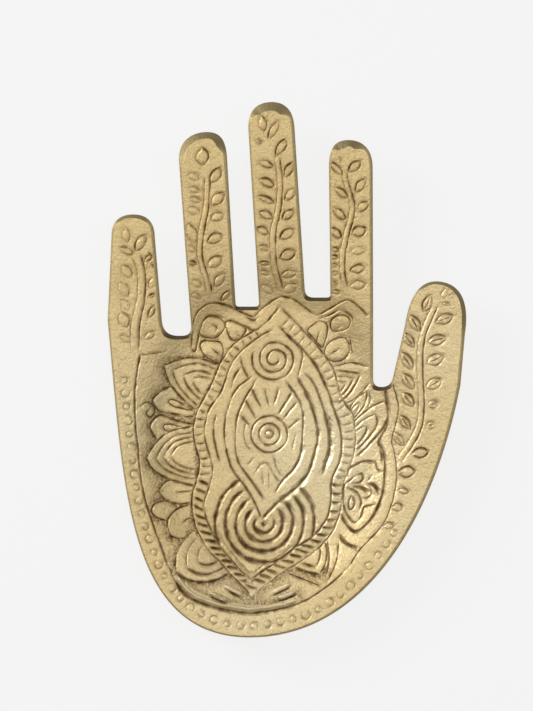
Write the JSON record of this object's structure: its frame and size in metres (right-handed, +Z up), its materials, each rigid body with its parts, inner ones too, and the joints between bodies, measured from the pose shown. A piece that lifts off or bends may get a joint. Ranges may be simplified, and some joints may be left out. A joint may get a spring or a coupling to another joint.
{
  "type": "hand-shaped tray",
  "caption": "Shallow hand-shaped trinket tray, cast in pale antique gold metal with carved vines, petals, rope, eye and spiral ornament, on stick-on felt pads.",
  "frame": {"origin": "on the table under the middle of the tray's outline", "axes": "+X towards the thumb, +Y towards the fingertips, +Z up out of the dish"},
  "size_m": [0.1428, 0.2132, 0.0158],
  "materials": {
    "antique_gold": "cast, pale gold with a brown patina in the recesses, satin",
    "felt": "pressed felt, matt",
    "adhesive": "double-sided foam film"
  },
  "bodies": {
    "root": {"tray_casting": "antique_gold", "felt_pad_heel_left": "felt", "felt_pad_heel_right": "felt", "felt_pad_finger_left": "felt", "felt_pad_finger_right": "felt", "adhesive_disc_heel_left": "adhesive", "adhesive_disc_heel_right": "adhesive", "adhesive_disc_finger_left": "adhesive", "adhesive_disc_finger_right": "adhesive"}
  },
  "joints": []
}
